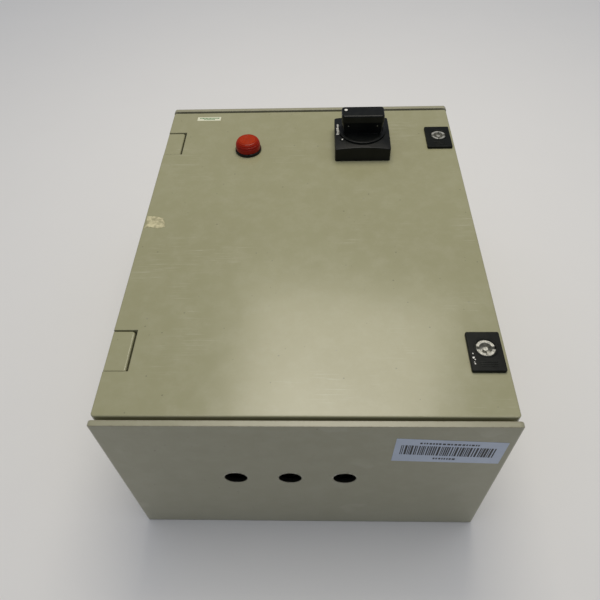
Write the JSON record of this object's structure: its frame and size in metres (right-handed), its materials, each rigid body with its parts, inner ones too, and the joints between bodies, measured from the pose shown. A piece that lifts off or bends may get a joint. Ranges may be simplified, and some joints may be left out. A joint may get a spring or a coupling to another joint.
{
  "type": "magnetic motor starter",
  "caption": "Enclosed magnetic motor starter: moulded case, hinged door with two quarter-turn locks, rotary disconnect handle and pilot light, starter gear inside.",
  "frame": {"origin": "centre of the case's back face, on the surface it lies on", "axes": "+X to the right of the door, +Y to the case's top end, +Z out of the door"},
  "size_m": [0.33, 0.43, 0.245],
  "materials": {
    "case_polyester": "satin moulded glass-fibre polyester, scuffed",
    "door_polyester": "satin moulded glass-fibre polyester, scuffed",
    "zinc_steel": "bright zinc plate",
    "galvanised_sheet": "spangled galvanised sheet",
    "zinc_rail": "passivated zinc",
    "dark_grey_plastic": "fine moulded grain",
    "light_grey_plastic": "fine moulded grain",
    "black_plastic": "fine moulded grain",
    "laminated_steel": "stacked laminations",
    "nylon_bobbin": "natural nylon",
    "copper_winding": "enamelled copper wire",
    "contact_brass": "stamped, dull",
    "spring_steel": "drawn wire",
    "reset_blue": "moulded",
    "stop_red": "moulded",
    "dial_white": "moulded",
    "terminal_grey": "moulded polyamide",
    "earth_green": "green and yellow polyamide",
    "wire_black": "pvc insulation",
    "wire_red": "pvc insulation",
    "lead_grey": "pvc sheath",
    "gasket_foam": "foamed polyurethane",
    "lock_zinc": "die-cast zinc, polished face",
    "lens_red": "ribbed translucent lens",
    "led_white": "frosted"
  },
  "bodies": {
    "case": {"enclosure_body": "case_polyester", "hinge_blocks": "door_polyester", "hinge_pins": "zinc_steel", "mounting_plate": "galvanised_sheet", "mounting_screws": "zinc_steel", "device_rails": "zinc_rail", "breaker_case": "dark_grey_plastic", "contactor_base": "dark_grey_plastic", "contactor_cover": "light_grey_plastic", "contactor_yoke": "laminated_steel", "coil_bobbin": "nylon_bobbin", "coil_winding": "copper_winding", "fixed_contacts": "contact_brass", "return_springs": "spring_steel", "power_screws": "zinc_steel", "overload_case": "dark_grey_plastic", "overload_prongs": "contact_brass", "overload_heaters": "contact_brass", "terminal_blocks": "terminal_grey", "earth_terminals": "earth_green", "end_stops": "terminal_grey", "terminal_screws": "zinc_steel", "fuse_holder": "light_grey_plastic", "supply_wires": "wire_black", "link_wires": "wire_black", "motor_wires": "wire_black", "control_wires": "wire_red", "case_lead": "lead_grey", "hinge_lead": "lead_grey", "case_clip": "black_plastic"},
    "door": {"door": "door_polyester", "door_gasket": "gasket_foam", "door_lead": "lead_grey", "door_clip": "black_plastic", "lock_housing_upper": "black_plastic", "lock_housing_lower": "black_plastic", "panel_nuts": "zinc_steel", "handle_base": "black_plastic", "handle_screws": "zinc_steel", "pilot_bezel": "black_plastic", "pilot_lens": "lens_red", "pilot_lamp_block": "dark_grey_plastic", "pilot_led": "led_white", "pilot_screws": "zinc_steel"},
    "lock_upper": {"lock_barrel_upper": "lock_zinc", "lock_cam_upper": "zinc_steel"},
    "lock_lower": {"lock_barrel_lower": "lock_zinc", "lock_cam_lower": "zinc_steel"},
    "handle": {"handle_dial": "black_plastic", "handle_socket": "black_plastic"},
    "padlock": {"padlock_slide": "black_plastic"},
    "shaft": {"shaft_coupler": "black_plastic", "extension_shaft": "zinc_steel"},
    "carrier": {"contactor_armature": "laminated_steel", "contact_carrier": "light_grey_plastic", "contact_bridges": "contact_brass"},
    "reset": {"overload_reset_button": "reset_blue"},
    "stop": {"overload_stop_button": "stop_red"},
    "setting": {"overload_dial": "dial_white"},
    "fuse": {"fuse_carrier": "black_plastic"}
  },
  "joints": [
    {"name": "door_hinge", "type": "hinge", "parent": "case", "child": "door", "pos_m": [-0.1605, 0, 0.19], "axis": [0, -1, 0], "range_deg": [0, 120], "deforming": ["hinge_lead"]},
    {"name": "lock_upper_turn", "type": "hinge", "parent": "door", "child": "lock_upper", "pos_m": [0.147, 0.151, 0.2], "axis": [0, 0, -1], "range_deg": [0, 90]},
    {"name": "lock_lower_turn", "type": "hinge", "parent": "door", "child": "lock_lower", "pos_m": [0.147, -0.145, 0.2], "axis": [0, 0, -1], "range_deg": [0, 90]},
    {"name": "handle_turn", "type": "hinge", "parent": "door", "child": "handle", "pos_m": [0.0594, 0.138, 0.22], "axis": [0, 0, -1], "range_deg": [0, 90]},
    {"name": "shaft_turn", "type": "hinge", "parent": "case", "child": "shaft", "pos_m": [0.0594, 0.138, 0.1], "axis": [0, 0, -1], "range_deg": [0, 90]},
    {"name": "padlock_slide_out", "type": "slide", "parent": "handle", "child": "padlock", "axis": [1, 0, 0], "range_m": [0, 0.009]},
    {"name": "contactor_pull_in", "type": "slide", "parent": "case", "child": "carrier", "axis": [0, 0, -1], "range_m": [0, 0.0047], "stiffness_N_per_m": 1200, "springref_m": -0.004, "deforming": ["return_springs"]},
    {"name": "reset_push", "type": "slide", "parent": "case", "child": "reset", "axis": [0, 0, -1], "range_m": [0, 0.003], "stiffness_N_per_m": 150, "springref_m": -0.003},
    {"name": "stop_push", "type": "slide", "parent": "case", "child": "stop", "axis": [0, 0, -1], "range_m": [0, 0.003], "stiffness_N_per_m": 150, "springref_m": -0.003},
    {"name": "setting_turn", "type": "hinge", "parent": "case", "child": "setting", "pos_m": [0.0594, -0.027, 0.09], "axis": [0, 0, 1], "range_deg": [-120, 120]},
    {"name": "fuse_pull", "type": "slide", "parent": "case", "child": "fuse", "axis": [0, 0, 1], "range_m": [0, 0.014]}
  ],
  "couplings": [
    {"joint": "shaft_turn", "follows": "handle_turn", "ratio": 1}
  ]
}
